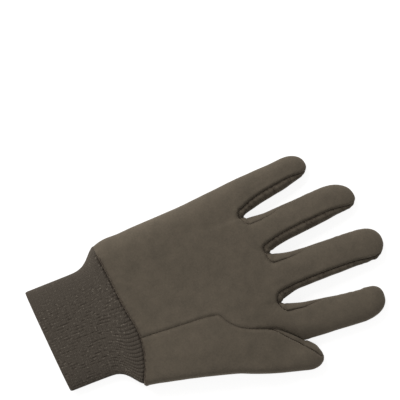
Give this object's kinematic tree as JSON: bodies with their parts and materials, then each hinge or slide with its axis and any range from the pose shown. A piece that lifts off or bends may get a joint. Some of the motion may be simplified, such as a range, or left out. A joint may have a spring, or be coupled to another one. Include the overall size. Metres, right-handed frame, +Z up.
{
  "type": "cotton work glove",
  "caption": "Right-hand work glove of brushed cotton jersey with a ribbed knit wrist, lying on its back with the palm up and open at the wrist.",
  "frame": {"origin": "middle of the glove's outline seen from above, on the surface that it lies on", "axes": "+Y from the knit wrist to the fingertips, +X to the thumb side, +Z up out of the palm"},
  "size_m": [0.1536, 0.2592, 0.0224],
  "materials": {
    "brushed_jersey": "brushed cotton jersey, matt",
    "rib_knit": "cotton rib knit, matt"
  },
  "bodies": {
    "root": {"palm_panel": "brushed_jersey", "back_ring": "brushed_jersey", "back_middle": "brushed_jersey", "thumb": "brushed_jersey", "knit_wrist": "rib_knit"}
  },
  "joints": []
}
